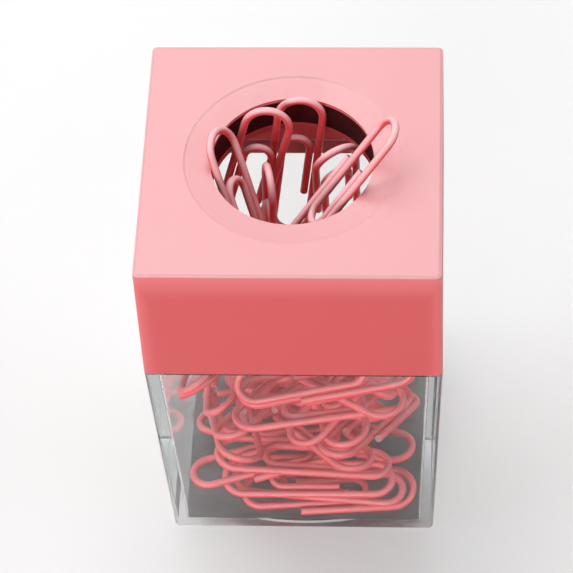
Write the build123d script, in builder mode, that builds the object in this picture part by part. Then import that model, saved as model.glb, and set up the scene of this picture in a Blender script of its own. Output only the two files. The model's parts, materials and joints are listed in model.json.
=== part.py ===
# Magnetic paper clip holder: a clear square tray of coated clips under a moulded cap,
# with a ring magnet round the cap's opening that holds a few clips upright to be picked.
# Millimetres, +Z up, front at -Y, origin on the table under the middle of the tray.

import os
from math import atan2, cos, degrees, pi, radians, sin, sqrt

import numpy as np
from build123d import *

# Overall form
height = 68.0             # table to the cap's flat top
lid_height = 23.5
seam_width = 44.4         # cap and tray meet flush here
lid_taper = 0.2           # per side, from the seam to the cap's top
tray_taper = 1.4          # per side, from the seam to the tray's foot
corner_radius = 0.8       # upright edges, outside
inner_corner_radius = 0.5

# Cap walls and top
wall = 2.0
roof = 2.2
lid_edge_radius = 0.5
skirt = 1.0               # the cap's wall where it laps over the tray's neck
neck_height = 3.6
neck_clearance = 0.1      # per side, between skirt and neck
neck_relief = 0.2         # above the neck's rim

# Dished opening
opening_diameter = 24.0
dish_diameter = 32.0
dish_depth = 0.6
dish_step = 0.25          # the small bevel round the dish's rim
lip = 0.6                 # the dish's edge, over the magnet

# Magnet, its collar and the ring that keeps it in
magnet_bore_step = 0.2    # the magnet's bore lies this far behind the lip
magnet_width = 3.3
magnet_height = 5.0
seat_clearance = 0.15     # round the magnet and the retainer
collar_wall = 1.2
retainer_height = 1.2
retainer_chamfer = 0.3
lug_count = 3
lug_width = 4.0
lug_reach = 0.5
lug_height = 0.8
lug_root = 0.4            # how far a lug runs back into the collar

# Tray
tray_floor = 1.6
shoulder_chamfer = 0.3
foot_recess_diameter = 37.0
foot_recess_depth = 0.7
foot_chamfer = 0.4

# Coated wire clip
clip_length = 28.5
wire_diameter = 1.2
wide_bend_radius = 3.35   # wire centreline, at the wide end
leg_spacing = 1.3         # between legs that lie side by side
inner_bend_depth = 7.7    # from the wide end's tip to the inner bend's
outer_leg_end = 18.8      # the two cut ends, from the wide end's tip
inner_leg_end = 19.5
wire_sides = 5
bend_facets = 5

# Loose pile in the tray
drop_count = 36           # dropped one by one; those that find no room are left out
trial_count = 64          # ways tried for each clip
clip_gap = 0.3            # between neighbouring wires
loose_flat = 14.0         # degrees a clip may tilt at the bottom of the pile
loose_steep = 70.0        # and at its top
loose_aligned = 15.0      # degrees a clip may turn off the front wall's line at the bottom
loose_turned = 260.0      # and at the top, past a half turn either way
front_pull = 0.35         # how much the pile is heaped against the front wall
front_crowding = 2.5      # how strongly the drops gather at the front
side_crowding = 0.25      # and at the side walls: 1 is even, 0 is all at the walls
heap_line = 0.33          # where the front heap ends, in half widths before the middle
hollow_front_line = 0.25  # the hollow under the hanging clips, in half widths before the middle
hollow_back_line = 0.5    # and behind it
pile_headroom = 1.5       # below the cap, and below the clips that hang from it
pile_back_top = 25.0      # the pile's height along the back wall
sample_step = 0.9         # between points along a wire

# Worked out from the sizes above
seam_height = height - lid_height
lid_draft = degrees(atan2(lid_taper, lid_height))
lid_inner_width = seam_width - 2 * wall
lap_width = seam_width - 2 * skirt
neck_width = lap_width - 2 * neck_clearance
base_width = seam_width - 2 * tray_taper
tray_slope = tray_taper / seam_height
floor_width = base_width - 2 * wall + 2 * tray_slope * tray_floor
opening_radius = opening_diameter / 2
dish_radius = dish_diameter / 2
magnet_top = height - dish_depth - lip
magnet_bore = opening_radius + magnet_bore_step
magnet_radius = magnet_bore + magnet_width
seat_radius = magnet_radius + seat_clearance
retainer_top = magnet_top - magnet_height
retainer_bottom = retainer_top - retainer_height
collar_bottom = retainer_bottom - lug_height
roof_underside = height - roof
wire_radius = wire_diameter / 2
narrow_bend_radius = wide_bend_radius - leg_spacing / 2
inner_bend_radius = narrow_bend_radius - leg_spacing / 2

# The tray's outside: level and width, from its foot to its shoulder
tray_sections = [
    (0, base_width - 2 * foot_chamfer),
    (foot_chamfer, base_width + 2 * tray_slope * foot_chamfer),
    (seam_height - shoulder_chamfer, seam_width - 2 * tray_slope * shoulder_chamfer),
    (seam_height, seam_width - 2 * shoulder_chamfer),
]

os.makedirs("parts", exist_ok=True)


def save(piece, name):
    """Label one finished piece and write it as its own node."""
    piece.part.label = name
    export_step(piece.part, f"parts/{name}.step")


# Tray: a clear box that widens upward to a shoulder, with a thin neck that the cap laps over
with BuildPart() as tray:
    for level, width in tray_sections:
        with BuildSketch(Plane.XY.offset(level)):
            RectangleRounded(width, width, corner_radius)
    loft(ruled=True)
    with BuildSketch(Plane.XY.offset(seam_height)):
        RectangleRounded(neck_width, neck_width, corner_radius)
    extrude(amount=neck_height)
    with BuildSketch(Plane.XY.offset(tray_floor)):
        RectangleRounded(floor_width, floor_width, inner_corner_radius)
    with BuildSketch(Plane.XY.offset(seam_height)):
        RectangleRounded(lid_inner_width, lid_inner_width, inner_corner_radius)
    loft(ruled=True, mode=Mode.SUBTRACT)
    with BuildSketch(Plane.XY.offset(seam_height)):
        RectangleRounded(lid_inner_width, lid_inner_width, inner_corner_radius)
    extrude(amount=neck_height, mode=Mode.SUBTRACT)
    with BuildSketch():
        Circle(foot_recess_diameter / 2)
    extrude(amount=foot_recess_depth, mode=Mode.SUBTRACT)
save(tray, "tray")

# Cap: drafted outside, rebated round its mouth, with a collar under the dished opening
with BuildPart() as lid:
    with BuildSketch(Plane.XY.offset(seam_height)):
        Rectangle(seam_width, seam_width)
    extrude(amount=lid_height, taper=lid_draft)
    fillet(lid.edges().group_by(Axis.Z)[1], corner_radius)
    fillet(lid.faces().sort_by(Axis.Z)[-1].edges(), lid_edge_radius)
    with BuildSketch(Plane.XY.offset(seam_height)):
        RectangleRounded(lid_inner_width, lid_inner_width, inner_corner_radius)
    extrude(amount=lid_height - roof, mode=Mode.SUBTRACT)
    with BuildSketch(Plane.XY.offset(seam_height)):
        RectangleRounded(lap_width, lap_width, corner_radius)
    extrude(amount=neck_height + neck_relief, mode=Mode.SUBTRACT)
    with BuildSketch(Plane.XY.offset(collar_bottom)):
        Circle(seat_radius + collar_wall)
    extrude(amount=roof_underside - collar_bottom)
    with BuildSketch(Plane.XY.offset(collar_bottom)):
        Circle(seat_radius)
    extrude(amount=magnet_top - collar_bottom, mode=Mode.SUBTRACT)
    with BuildSketch(Plane.XZ):
        with BuildLine():
            Polyline(
                (0, magnet_top),
                (opening_radius, magnet_top),
                (opening_radius, height - dish_depth),
                (dish_radius - dish_step, height - dish_step),
                (dish_radius, height),
                (0, height),
                close=True,
            )
        make_face()
    revolve(axis=Axis.Z, mode=Mode.SUBTRACT)
    with BuildSketch(Plane.XY.offset(collar_bottom)):
        with PolarLocations(seat_radius + (lug_root - lug_reach) / 2, lug_count, start_angle=90):
            Rectangle(lug_reach + lug_root, lug_width)
    extrude(amount=lug_height)
save(lid, "lid")

# Ring magnet, pushed up into the collar until it meets the dish's underside
with BuildPart() as magnet_ring:
    with BuildSketch(Plane.XY.offset(retainer_top)):
        Circle(magnet_radius)
        Circle(magnet_bore, mode=Mode.SUBTRACT)
    extrude(amount=magnet_height)
save(magnet_ring, "magnet_ring")

# Retaining ring, snapped past the collar's lugs to keep the magnet up
with BuildPart() as magnet_retainer:
    with BuildSketch(Plane.XY.offset(retainer_bottom)):
        Circle(magnet_radius)
        Circle(magnet_bore, mode=Mode.SUBTRACT)
    extrude(amount=retainer_height)
    chamfer(magnet_retainer.edges().group_by(Axis.Z)[0].sort_by(SortBy.RADIUS)[-1], retainer_chamfer)
save(magnet_retainer, "magnet_retainer")


def bend(centre_x, centre_y, radius, start):
    """Corners of a half-round bend, anticlockwise from the start angle."""
    turns = [start + pi * i / bend_facets for i in range(bend_facets + 1)]
    return [(centre_x + radius * cos(a), centre_y + radius * sin(a)) for a in turns]


# One clip's wire, flat: its wide end's tip is at the origin and its length runs along +Y
outer_x = wide_bend_radius
narrow_x = outer_x - narrow_bend_radius
inner_x = narrow_x - narrow_bend_radius + inner_bend_radius
wire_line = [
    (-outer_x, outer_leg_end),
    *bend(0, wire_radius + wide_bend_radius, wide_bend_radius, pi),
    *bend(narrow_x, clip_length - wire_radius - narrow_bend_radius, narrow_bend_radius, 0),
    *bend(inner_x, inner_bend_depth + wire_radius + inner_bend_radius, inner_bend_radius, pi),
    (inner_x + inner_bend_radius, inner_leg_end),
]

with BuildPart() as clip:
    with BuildLine() as wire_path:
        Polyline(*wire_line)
    with BuildSketch(Plane(origin=wire_path.line @ 0, z_dir=wire_path.line % 0)):
        RegularPolygon(wire_radius, wire_sides)
    sweep(path=wire_path.line, transition=Transition.RIGHT)

# The same wire as points, to keep clips apart
wire_points = []
for (x0, y0), (x1, y1) in zip(wire_line, wire_line[1:]):
    pieces = int(sqrt((x1 - x0) ** 2 + (y1 - y0) ** 2) / sample_step) + 1
    wire_points += [(x0 + (x1 - x0) * i / pieces, y0 + (y1 - y0) * i / pieces) for i in range(pieces)]
wire_points = np.array([*wire_points, wire_line[-1]])


def wire_in(plane):
    """Points along a clip's wire when it lies in a plane."""
    across, along = np.array([*plane.x_dir]), np.array([*plane.y_dir])
    return np.array([*plane.origin]) + np.outer(wire_points[:, 0], across) + np.outer(wire_points[:, 1], along)


def place_clip(plane, name):
    """Write a clip that lies in a plane as a node."""
    with BuildPart() as placed:
        add(clip.part.moved(plane.location))
    save(placed, name)


def held_plane(bearing, inset, rise, facing, lean, twist, wide_end_up):
    """Plane of a clip on the magnet, by its upper tip: bearing and distance in from the opening's
    edge, rise over the cap; then the bearing that its back faces, its lean out and its turn in its plane."""
    bearing, facing, lean, twist = (radians(a) for a in (bearing, facing, lean, twist))
    reach = opening_radius - inset
    tip = Vector(reach * cos(bearing), reach * sin(bearing), height + rise)
    outward = Vector(cos(facing), sin(facing), 0)
    sideways = Vector(-sin(facing), cos(facing), 0)
    upward = outward * sin(lean) + Vector(0, 0, 1) * cos(lean)
    heading = upward * cos(twist) + sideways * sin(twist)
    across = heading.cross(upward.cross(sideways))
    if wide_end_up:
        return Plane(origin=tip, x_dir=across, z_dir=heading.cross(across))
    return Plane(origin=tip - heading * clip_length, x_dir=across, z_dir=across.cross(heading))


# Clips on the magnet: two lean out over the lip, two stand along the back, two hang in the bore
held_clips = {
    "held_clip_left": held_plane(161.7, 0.1, 2.45, 166, 30, -29.5, True),
    "held_clip_back_left": held_plane(111.5, 3.65, 2.0, 90, 6, -15, True),
    "held_clip_back": held_plane(83, 1.45, 1.4, 90, 6, -7.5, True),
    "held_clip_back_right": held_plane(30, 4.9, -2.3, 120, -14, 7, True),
    "held_clip_right": held_plane(6.8, -3.3, 6.9, 0, 42, 24.5, False),
    "held_clip_middle": held_plane(168, 8.3, -4.0, 12, 2, 0, True),
}
for name, plane in held_clips.items():
    place_clip(plane, name)
held_low = min(wire_in(plane)[:, 2].min() for plane in held_clips.values()) - wire_radius


def shuffle(step, root):
    """Fractions from 0 to 1 that spread evenly as the step counts up."""
    return step * sqrt(root) % 1


def dropped(step, fill, pile):
    """A clip turned and set down by the step, on the floor or on the pile: its plane and wire."""
    tilt = loose_flat + (loose_steep - loose_flat) * fill
    swing = loose_aligned + (loose_turned - loose_aligned) * fill
    facing = 90 if step % 4 < 2 else -90
    turn = [tilt * (2 * shuffle(step, 3) - 1), tilt * (2 * shuffle(step, 5) - 1)]
    lie = Plane.XY.rotated((*turn, facing + swing * (2 * shuffle(step, 2) - 1)))
    wire = wire_in(lie)
    low, high = wire.min(axis=0), wire.max(axis=0)
    reach = floor_width / 2 - wire_radius - clip_gap
    side = shuffle(step, 7) ** side_crowding
    side = side if step % 2 else 1 - side
    front = shuffle(step, 11) ** front_crowding
    start_x = (-reach - low[0]) * (1 - side) + (reach - high[0]) * side
    start_y = (-reach - low[1]) * (1 - front) + (reach - high[1]) * front
    wire = wire + [start_x, start_y, 0]
    spacing = wire_diameter + clip_gap
    apart = ((wire[:, None, :2] - pile[None, :, :2]) ** 2).sum(axis=2)
    rise = pile[None, :, 2] - wire[:, None, 2] + np.sqrt(np.maximum(spacing**2 - apart, 0))
    lift = rise[apart < spacing**2].max(initial=tray_floor + wire_radius - low[2])
    plane = Plane(origin=lie.origin + (start_x, start_y, lift), x_dir=lie.x_dir, z_dir=lie.z_dir)
    return plane, wire + [0, 0, lift]


# Loose clips: each is dropped in many ways and stays where it lies lowest, nearest the front
half_floor = floor_width / 2
ceiling_y = [half_floor * line for line in (-1, -heap_line, -hollow_front_line, hollow_back_line, 1)]
ceiling_z = [seam_height - pile_headroom] * 2 + [held_low - pile_headroom] * 2 + [pile_back_top]
pile = np.empty((0, 3))
placed_clips = 0
for count in range(drop_count):
    lowest = None
    for trial in range(trial_count):
        plane, wire = dropped(count * trial_count + trial + 1, count / drop_count, pile)
        inside = (abs(wire[:, :2]) < half_floor - wire_radius).all()
        if inside and (wire[:, 2] + wire_radius < np.interp(wire[:, 1], ceiling_y, ceiling_z)).all():
            depth = wire[:, 2].mean() + front_pull * wire[:, 1].mean()
            if lowest is None or depth < lowest[0]:
                lowest = (depth, plane, wire)
    if lowest:
        pile = np.vstack([pile, lowest[2]])
        placed_clips += 1
        place_clip(lowest[1], f"loose_clip_{placed_clips:02d}")
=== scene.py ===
# Magnetic paper clip holder on a pale table: a clear tray of pink coated clips under a satin pink cap,
# whose ring magnet holds a few clips up at the opening. Metres, +Z up, front at -Y.

import json
from math import cos, pi, radians, sin

import bmesh
import bpy
import numpy as np
from mathutils import Matrix, Vector


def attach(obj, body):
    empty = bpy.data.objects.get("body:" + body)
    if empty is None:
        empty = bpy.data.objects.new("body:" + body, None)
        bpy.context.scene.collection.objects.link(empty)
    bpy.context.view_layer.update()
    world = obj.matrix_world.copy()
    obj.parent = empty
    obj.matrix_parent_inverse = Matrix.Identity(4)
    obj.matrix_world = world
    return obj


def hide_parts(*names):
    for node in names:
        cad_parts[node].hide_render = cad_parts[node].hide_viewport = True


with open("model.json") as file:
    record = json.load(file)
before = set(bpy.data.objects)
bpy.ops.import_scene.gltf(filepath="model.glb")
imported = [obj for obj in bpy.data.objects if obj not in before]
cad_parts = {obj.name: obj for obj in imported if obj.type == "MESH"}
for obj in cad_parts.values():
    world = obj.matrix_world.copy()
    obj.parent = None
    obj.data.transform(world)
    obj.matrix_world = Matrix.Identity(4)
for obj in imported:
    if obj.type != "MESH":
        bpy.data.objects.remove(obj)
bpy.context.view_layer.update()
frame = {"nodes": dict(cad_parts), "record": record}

# Tray: a square box moulded in clear polystyrene, faintly grey where it is thick, and polished all over but
# for its matt inner floor, which is painted dark grey as painted shade. It widens upward to a neck that the
# cap laps over, and stands on a square rim round a shallow recess.
clear_tints = (0.92, 0.93, 0.93, 1), (0.96, 0.97, 0.97, 1)
# Painted shade: the dark grey laid on the inner floor, where the table under the cap lies in shadow.
floor_painted_shade_grey = (0.17, 0.17, 0.17, 1)
above_floor = 0.002
floor_facing = 0.5
wall_mirror = (0.1, 0.1, 0.1, 1)
straight_tint = (0.96, 0.97, 0.97, 1)
straight_share = 0.05
wall_grey = (0.5, 0.52, 0.52, 1)
wall_density = 25.0


class Shade:
    """An output socket of a material's node. Sums with it add Math nodes to that material."""

    def __init__(self, tree, socket=None):
        self.tree = tree
        self.socket = socket

    def node(self, kind, inputs=None, settings=None, output=0):
        """Add a node of a type: its settings first, then its sockets' values or links."""
        made = self.tree.nodes.new("ShaderNode" + kind)
        for name, value in (settings or {}).items():
            setattr(made, name, value)
        for name, value in (inputs or {}).items():
            socket = next(s for s in made.inputs if name in (s.identifier, s.name))
            if isinstance(value, Shade):
                self.tree.links.new(value.socket, socket)
            else:
                socket.default_value = value
        return Shade(self.tree, made.outputs[output] if made.outputs else None)

    def math(self, operation, first, second):
        """The result of a Math node on two values."""
        return self.node("Math", {"Value": first, "Value_001": second}, {"operation": operation})

    def __add__(self, other):
        return self.math("ADD", self, other)

    def __sub__(self, other):
        return self.math("SUBTRACT", self, other)

    def __rsub__(self, other):
        return self.math("SUBTRACT", other, self)

    def __mul__(self, other):
        return self.math("MULTIPLY", self, other)

    __radd__ = __add__
    __rmul__ = __mul__


def new_finish(name):
    """A new material: its datablock, and a shade from which its nodes are made."""
    material = bpy.data.materials.new(name)
    material.use_nodes = True
    material.node_tree.nodes.clear()
    return material, Shade(material.node_tree)


def blend(shade, amount, low, high):
    """A colour that goes from low to high with the amount."""
    return shade.node(
        "Mix",
        {"Factor_Float": amount, "A_Color": low, "B_Color": high},
        {"data_type": "RGBA", "clamp_factor": True},
        output=2,
    )


def upright_part(shade, vector):
    """The upright part of a vector: the height of a place, or how far a face looks up."""
    return shade.node("SeparateXYZ", {"Vector": vector}, output=2)


clear_plastic, shade = new_finish("clear_polystyrene")
place = shade.node("TexCoord", output=3)
faces_up = shade.math("GREATER_THAN", upright_part(shade, shade.node("NewGeometry", output=1)), floor_facing)
# The inner floor's upward faces are made matt and painted dark grey, a painted shade.
matt_floor_painted_shade = faces_up * shade.math("LESS_THAN", upright_part(shade, place), above_floor)
haze = shade.node("TexNoise", {"Vector": place, "Scale": 160.0, "Detail": 3.0})
scuffs = shade.node("TexNoise", {"Vector": place, "Scale": 900.0, "Detail": 2.0})
flow = shade.node("TexNoise", {"Vector": place, "Scale": 45.0, "Detail": 1.0})
glass = shade.node(
    "BsdfPrincipled",
    {
        "Base Color": blend(shade, matt_floor_painted_shade, blend(shade, haze, *clear_tints), floor_painted_shade_grey),
        "Roughness": 0.015 + 0.03 * haze * scuffs + 0.5 * matt_floor_painted_shade,
        "IOR": 1.5,
        "Specular Tint": wall_mirror,
        "Transmission Weight": 1.0,
        "Normal": shade.node("Bump", {"Strength": 0.04, "Distance": 0.0004, "Height": flow}),
    },
)
unbent = shade.node("BsdfTransparent", {"Color": straight_tint})
lamp_ray = shade.node("LightPath", output=1)
straight = straight_share + (1 - straight_share) * lamp_ray
shade.node(
    "OutputMaterial",
    {
        "Surface": shade.node("MixShader", {"Fac": straight, "Shader": glass, "Shader_001": unbent}),
        "Volume": shade.node("VolumeAbsorption", {"Color": wall_grey, "Density": wall_density}),
    },
)
frame["nodes"]["tray"].data.materials[0] = clear_plastic

# Cap: a deep square cap moulded in pink plastic with a fine satin texture, deep pink on its sides. A painted
# highlight makes it paler towards its edges, and a painted sheen makes it palest on its top and in the dish.
# It lifts straight off the tray's neck.
cap_side_pink = (0.7, 0.085, 0.09, 1)
# Painted highlight near the edges and on sloping faces; painted sheen on the faces that look up.
cap_rim_highlight_pink = (0.86, 0.18, 0.19, 1)
cap_bevel_highlight_pink = (0.9, 0.47, 0.48, 1)
cap_top_sheen_pink = (0.78, 0.32, 0.34, 1)
sloping_facing, top_facing = 0.1, 0.6
edge_facing, flat_facing = 0.75, 0.97
rim_depth, corner_width = 0.006, 0.0027
corner_share, mottle_share = 0.7, 0.1
edge_ease = 1.5

cap = frame["nodes"]["lid"]
cap_half_width, _, cap_top = np.array([v.co for v in cap.data.vertices]).max(axis=0).tolist()


def smooth_rise(shade, value, low, high):
    """A smooth step from 0 to 1 as the value goes from low to high."""
    return shade.node(
        "MapRange", {"Value": value, "From Min": low, "From Max": high}, {"interpolation_type": "SMOOTHSTEP"}
    )


def surface(shade, sockets):
    """Give a material one plain surface with these sockets."""
    shade.node("OutputMaterial", {"Surface": shade.node("BsdfPrincipled", sockets)})


satin_pink, shade = new_finish("satin_pink_plastic")
place = shade.node("TexCoord", output=3)
mottle = shade.node("TexNoise", {"Vector": place, "Scale": 60.0, "Detail": 4.0, "Roughness": 0.6})
grain = shade.node("TexNoise", {"Vector": place, "Scale": 5200.0, "Detail": 2.0})

near_top = smooth_rise(shade, upright_part(shade, place), cap_top - rim_depth, cap_top)
off_x, off_y = (
    shade.math("ABSOLUTE", shade.node("SeparateXYZ", {"Vector": place}, output=axis), 0) for axis in (0, 1)
)
to_corner = shade.math("MINIMUM", off_x, off_y)
near_corner = smooth_rise(shade, to_corner, cap_half_width - corner_width, cap_half_width)
# The band near the top edge and the corners gets a painted highlight, mixed with a little random mottle.
near_edge = shade.math("MAXIMUM", near_top, corner_share * near_corner)
highlight_and_mottle = (1 - mottle_share) * near_edge + mottle_share * mottle
side = blend(shade, highlight_and_mottle, cap_side_pink, cap_rim_highlight_pink)

facing = shade.node("NewGeometry", output=1)
upward = upright_part(shade, facing)
# Upward faces get a painted sheen, sloping edges a painted highlight.
top = smooth_rise(shade, upward, sloping_facing, top_facing)
flat = smooth_rise(shade, upward, edge_facing, flat_facing)
lift = shade.node("CombineXYZ", {"Z": edge_ease * (top - flat)})
lifted = shade.node("VectorMath", {"Vector": facing, "Vector_001": lift})
eased = shade.node("VectorMath", {"Vector": lifted}, {"operation": "NORMALIZE"})
satin = shade.node("Bump", {"Strength": 0.12, "Distance": 0.0001, "Height": grain, "Normal": eased})
surface(
    shade,
    {
        "Base Color": blend(shade, top, side, blend(shade, flat, cap_bevel_highlight_pink, cap_top_sheen_pink)),
        "Roughness": 0.42 + 0.1 * top + 0.06 * mottle,
        "Coat Weight": top,
        "Coat Roughness": 0.38,
        "Normal": satin,
    },
)
cap.data.materials[0] = satin_pink

# Magnet: a ring of sintered ferrite, nearly black, ground on its flat ends and pitted all over. It is
# pushed up into the cap's collar and lies right under the lip of the opening.
ferrite_tints = (0.01, 0.003, 0.004, 1), (0.2, 0.016, 0.02, 1)

ferrite, shade = new_finish("ground_ferrite")
place = shade.node("TexCoord", output=3)
specks = shade.node("TexNoise", {"Vector": place, "Scale": 2400.0, "Detail": 3.0})
clouds = shade.node("TexNoise", {"Vector": place, "Scale": 240.0, "Detail": 2.0})
surface(
    shade,
    {
        "Base Color": blend(shade, specks * clouds, *ferrite_tints),
        "Roughness": 0.5 + 0.2 * clouds,
        "Specular IOR Level": 0.1,
        "Normal": shade.node("Bump", {"Strength": 0.15, "Distance": 0.0001, "Height": specks}),
    },
)
frame["nodes"]["magnet_ring"].data.materials[0] = ferrite

# Retaining ring: a thin ring moulded in the cap's plastic. It is snapped past three lugs in the collar
# and keeps the magnet up.
frame["nodes"]["magnet_retainer"].data.materials[0] = satin_pink

# Clips: steel wire in a pink vinyl coat, bent three times in a plane and cut off square, so that bare
# steel shows at the two ends. The loose ones lie in the tray, and the held ones hang on the magnet. A
# painted highlight makes the coat paler where it faces up, stronger on the held ones.
clip_length = 0.0285
wire_radius = 0.0006
# The round wire is a little thinner than the solid's, which keeps it inside the solid's box.
round_radius = 0.00058
coat_thickness = 0.00012
wide_bend = 0.00335
leg_spacing = 0.0013
inner_depth = 0.0077
outer_leg_end = 0.0188
inner_leg_end = 0.0195
wire_sides = 16
bend_steps = 14
solid_bend_steps = 5
merge_distance = 1e-6
tone_step = 0.618
coat_pinks = (0.8, 0.045, 0.055, 1), (0.88, 0.07, 0.08, 1)
coat_highlight = (0.98, 0.55, 0.58, 1)
highlight_facing = 0.9
dip_share = 0.4
# How strong the painted highlight is on the held and on the loose clips.
held_highlight, loose_highlight = 1.0, 0.42
steel_tints = (0.3, 0.2, 0.2, 1), (0.42, 0.3, 0.3, 1)

narrow_bend = wide_bend - leg_spacing / 2
inner_bend = narrow_bend - leg_spacing / 2
narrow_x = wide_bend - narrow_bend
inner_x = narrow_x - narrow_bend + inner_bend
bends = [
    (Vector((0, wire_radius + wide_bend, 0)), wide_bend, pi),
    (Vector((narrow_x, clip_length - wire_radius - narrow_bend, 0)), narrow_bend, 0),
    (Vector((inner_x, inner_depth + wire_radius + inner_bend, 0)), inner_bend, pi),
]


def round_bend(centre, radius, start, steps):
    """Points round a half turn of the wire's middle line."""
    angles = [start + pi * step / steps for step in range(steps + 1)]
    return [centre + radius * Vector((cos(a), sin(a), 0)) for a in angles]


def end_ring(verts, edges):
    """Of the edges, those that run between two of the vertices."""
    return [e for e in edges if isinstance(e, bmesh.types.BMEdge) and all(v in verts for v in e.verts)]


def draw_on(clip, ring, way):
    """Extrude the wire's end ring along a straight way, and give the new end ring."""
    drawn = bmesh.ops.extrude_edge_only(clip, edges=ring)["geom"]
    verts = [v for v in drawn if isinstance(v, bmesh.types.BMVert)]
    bmesh.ops.translate(clip, vec=way, verts=verts)
    return end_ring(verts, drawn)


def bend_on(clip, ring, centre):
    """Spin the wire's end ring through a half turn about a centre, and give the new end ring."""
    geometry = ring + list({v for e in ring for v in e.verts})
    spun = bmesh.ops.spin(clip, geom=geometry, cent=centre, axis=(0, 0, 1), angle=pi, steps=bend_steps)
    verts = [v for v in spun["geom_last"] if isinstance(v, bmesh.types.BMVert)]
    return end_ring(verts, spun["geom_last"])


def cut_end(clip, ring):
    """Close the wire's end with its coat's rounded edge round a disc of bare steel."""
    disc = bmesh.ops.edgeloop_fill(clip, edges=ring)["faces"]
    bmesh.ops.inset_region(clip, faces=disc, thickness=coat_thickness)
    for face in disc:
        face.material_index = 1
    bmesh.ops.bevel(
        clip,
        geom=ring,
        offset=coat_thickness / 2,
        offset_type="OFFSET",
        affect="EDGES",
        segments=2,
        profile=0.5,
        material=-1,
    )


clip = bmesh.new()
bmesh.ops.create_circle(clip, segments=wire_sides, radius=round_radius)
bmesh.ops.rotate(clip, verts=clip.verts, matrix=Matrix.Rotation(pi / 2, 3, "X"))
start = Vector((-wide_bend, outer_leg_end, 0))
bmesh.ops.translate(clip, verts=clip.verts, vec=start)
first_ring = clip.edges[:]
ring = first_ring
for centre, radius, angle in bends:
    line = round_bend(centre, radius, angle, 1)
    ring = draw_on(clip, ring, line[0] - start)
    ring = bend_on(clip, ring, centre)
    start = line[1]
last_ring = draw_on(clip, ring, Vector((start.x, inner_leg_end, 0)) - start)
cut_end(clip, first_ring)
cut_end(clip, last_ring)
bmesh.ops.recalc_face_normals(clip, faces=clip.faces)
for face in clip.faces:
    face.smooth = True


def lie(points):
    """How a clip lies: its middle, and its axes across, along and square to it, as a matrix."""
    middle = points.mean(axis=0)
    away = points - middle
    along, across = np.linalg.svd(away, full_matrices=False)[2][:2]
    along = along * np.sign(((away @ along) ** 3).sum())
    across = across * np.sign(((away @ across) ** 3).sum())
    turned = Matrix((across, along, np.cross(across, along))).transposed().to_4x4()
    return Matrix.Translation(middle) @ turned


coated_wire, shade = new_finish("pink_vinyl_coat")
place = shade.node("TexCoord", output=3)
tone = shade.node("Attribute", settings={"attribute_name": "tone"}, output=2)
pale = shade.node("Attribute", settings={"attribute_name": "pale"}, output=2)
# Faces that look up get a painted highlight, scaled by each clip's pale share.
upper = smooth_rise(shade, upright_part(shade, shade.node("NewGeometry", output=1)), 0.0, highlight_facing)
dips = shade.node("TexNoise", {"Vector": place, "Scale": 700.0, "Detail": 2.0})
skin = shade.node("TexNoise", {"Vector": place, "Scale": 3600.0, "Detail": 2.0})
wire_pink = blend(shade, (1 - dip_share) * tone + dip_share * dips, *coat_pinks)
surface(
    shade,
    {
        "Base Color": blend(shade, upper * pale, wire_pink, coat_highlight),
        "Roughness": 0.3 + 0.12 * dips,
        "Specular IOR Level": 0.35,
        "Normal": shade.node("Bump", {"Strength": 0.08, "Distance": 0.00005, "Height": skin}),
    },
)

cut_steel, shade = new_finish("sheared_steel")
place = shade.node("TexCoord", output=3)
tears = shade.node("TexNoise", {"Vector": place, "Scale": 9000.0, "Detail": 3.0})
surface(
    shade,
    {
        "Base Color": blend(shade, tears, *steel_tints),
        "Metallic": 1.0,
        "Roughness": 0.45 + 0.2 * tears,
        "Normal": shade.node("Bump", {"Strength": 0.2, "Distance": 0.00003, "Height": tears}),
    },
)

# How a solid clip lies, set against how its flat middle line lies, gives each round clip its place.
flat_line = [Vector((-wide_bend, outer_leg_end, 0))]
for centre, radius, angle in bends:
    flat_line += round_bend(centre, radius, angle, solid_bend_steps)
flat_line.append(Vector((inner_x + inner_bend, inner_leg_end, 0)))
flat_lie = lie(np.array(flat_line)).inverted()

bodies = frame["record"]["behaviour"]["bodies"]
clip_homes = [(node, body) for body, nodes in bodies.items() for node in nodes if "clip" in node]
for number, (node, body) in enumerate(clip_homes):
    solid = bmesh.new()
    solid.from_mesh(frame["nodes"][node].data)
    bmesh.ops.remove_doubles(solid, verts=solid.verts, dist=merge_distance)
    pose = lie(np.array([v.co for v in solid.verts]))
    solid.free()
    mesh = bpy.data.meshes.new(node + "_wire")
    clip.to_mesh(mesh)
    mesh.transform(pose @ flat_lie)
    mesh.materials.append(coated_wire)
    mesh.materials.append(cut_steel)
    looks = {"tone": number * tone_step % 1, "pale": held_highlight if "held" in node else loose_highlight}
    for look, value in looks.items():
        mesh.attributes.new(look, "FLOAT", "POINT").data.foreach_set("value", [value] * len(mesh.vertices))
    wire = bpy.data.objects.new(node + "_wire", mesh)
    bpy.context.scene.collection.objects.link(wire)
    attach(wire, body)
    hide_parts(node)
clip.free()

# Table: a pale matt sheet that runs past the picture's edges and takes the holder's soft shadow. It glows
# faintly where it is seen, also through the clear tray, and lies a hair below the holder's foot.
table_size = 3.0
table_gap = 0.00005
table_whites = (0.77, 0.77, 0.77, 1), (0.8, 0.8, 0.8, 1)
table_glow = (0, 0, 0, 1), (0.12, 0.12, 0.12, 1)

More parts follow.
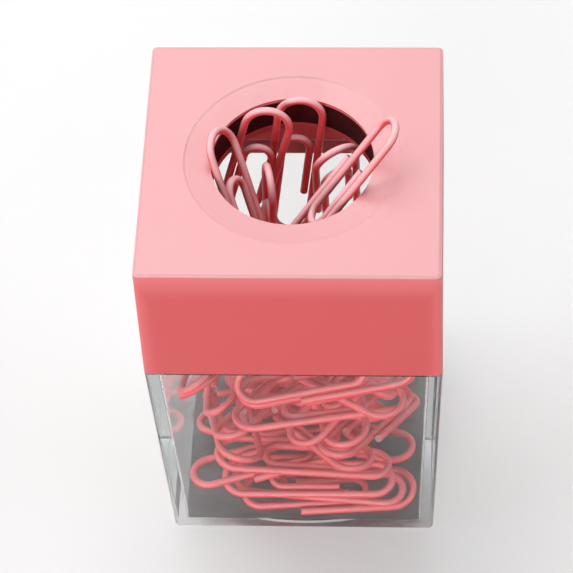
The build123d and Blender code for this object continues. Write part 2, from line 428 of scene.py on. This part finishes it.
table_white, shade = new_finish("pale_table")
place = shade.node("TexCoord", output=3)
paper = shade.node("TexNoise", {"Vector": place, "Scale": 25.0, "Detail": 2.0})
camera_ray, glossy_ray, clear_ray = (shade.node("LightPath", output=ray) for ray in (0, 3, 6))
surface(
    shade,
    {
        "Base Color": blend(shade, paper, *table_whites),
        "Emission Color": blend(shade, camera_ray + glossy_ray + clear_ray, *table_glow),
        "Emission Strength": 1.0,
        "Roughness": 0.9,
        "Specular IOR Level": 0.1,
    },
)
sheet = bmesh.new()
bmesh.ops.create_grid(sheet, x_segments=1, y_segments=1, size=table_size / 2)
bmesh.ops.translate(sheet, verts=sheet.verts, vec=(0, 0, -table_gap))
mesh = bpy.data.meshes.new("table")
sheet.to_mesh(mesh)
sheet.free()
mesh.materials.append(table_white)
table = bpy.data.objects.new("table", mesh)
bpy.context.scene.collection.objects.link(table)

# Studio: an even pale room, a large soft box high at the back, which veils the cap's satin top, a smaller
# one high at the left, a soft lamp low at the front, which reaches in under the cap, and a weak fill at
# the right.
room_white = (1, 1, 1, 1)
room_strength = 0.25

room = bpy.data.worlds.new("studio")
room.use_nodes = True
room.node_tree.nodes["Background"].inputs["Color"].default_value = room_white
room.node_tree.nodes["Background"].inputs["Strength"].default_value = room_strength
bpy.context.scene.world = room


def soft_box(name, place, aim, size, power):
    """A square area lamp at a place, aimed at a point."""
    lamp = bpy.data.lights.new(name, "AREA")
    lamp.size = size
    lamp.energy = power
    box = bpy.data.objects.new(name, lamp)
    turn = (Vector(aim) - Vector(place)).to_track_quat("-Z", "Y").to_matrix().to_4x4()
    box.matrix_world = Matrix.Translation(place) @ turn
    bpy.context.scene.collection.objects.link(box)


soft_box("over_box", place=(-0.14, 0.34, 0.67), aim=(0, 0, 0.05), size=0.6, power=4.05)
soft_box("key_box", place=(-0.45, -0.05, 0.55), aim=(0, 0, 0.06), size=0.4, power=0.9)
soft_box("front_lamp", place=(-0.22, -0.75, 0.18), aim=(0, 0, 0.03), size=0.4, power=3.1)
soft_box("right_fill", place=(0.55, 0.05, 0.35), aim=(0, 0, 0.04), size=0.5, power=0.8)
bpy.context.scene.view_settings.view_transform = "Standard"

# Camera: where the photograph was taken from, a little right of straight on, looking down steeply through
# a long lens and turned slightly.
picture_width = 573
focal_pixels = 2736
distance = 0.4251
bearing, height, roll = radians(5.26), radians(52.62), radians(-3.86)
target = Vector((-0.0021, 0.00014, 0.03673))

back = Vector((sin(bearing) * cos(height), -cos(bearing) * cos(height), sin(height)))
sideways = Vector((0, 0, 1)).cross(back).normalized()
upright = back.cross(sideways)
right = cos(roll) * sideways + sin(roll) * upright
up = back.cross(right)
lens = bpy.data.cameras.new("camera")
lens.lens = lens.sensor_width * focal_pixels / picture_width
camera = bpy.data.objects.new("camera", lens)
turn = Matrix((right, up, back)).transposed().to_4x4()
camera.matrix_world = Matrix.Translation(target + distance * back) @ turn
bpy.context.scene.collection.objects.link(camera)
bpy.context.scene.camera = camera
